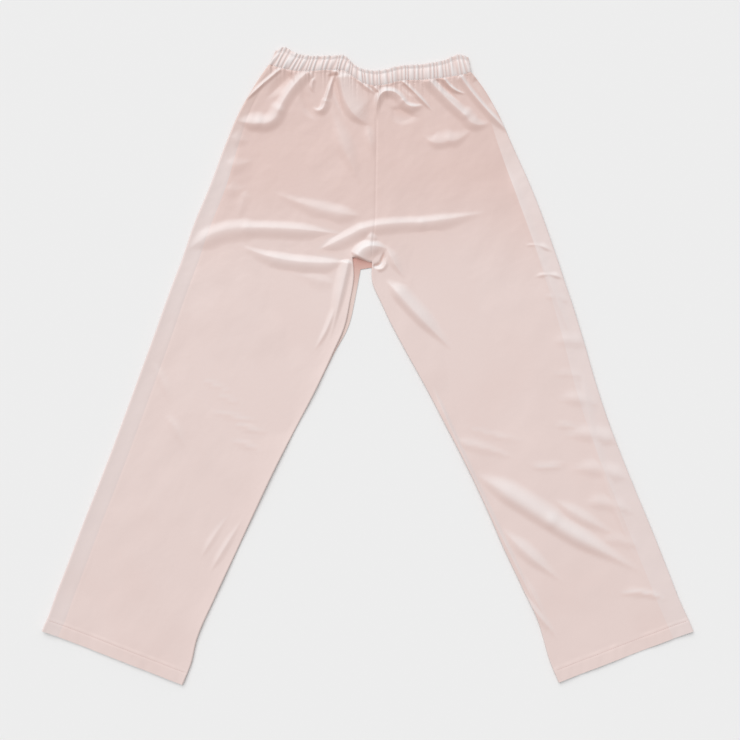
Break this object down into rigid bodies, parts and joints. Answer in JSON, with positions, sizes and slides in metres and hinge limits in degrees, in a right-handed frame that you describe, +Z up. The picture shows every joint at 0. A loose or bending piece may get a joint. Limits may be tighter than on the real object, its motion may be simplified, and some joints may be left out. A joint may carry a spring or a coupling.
{
  "type": "track pants",
  "caption": "Pull-on satin tricot track pants laid flat with the legs apart: gathered elastic waistband, tonal side panels and straight hemmed legs.",
  "frame": {"origin": "on the ground under the middle of the laid garment's outline", "axes": "+Z up out of the front of the garment, +Y towards the waistband, +X towards the wearer's left leg"},
  "size_m": [1.0528, 1.0303, 0.0097],
  "materials": {
    "tricot": "satin",
    "side_tricot": "satin"
  },
  "bodies": {
    "root": {"front_right_leg": "tricot", "front_left_leg": "tricot", "back_right_leg": "tricot", "back_left_leg": "tricot", "side_stripe_right": "side_tricot", "side_stripe_left": "side_tricot", "waistband": "tricot"}
  },
  "joints": []
}
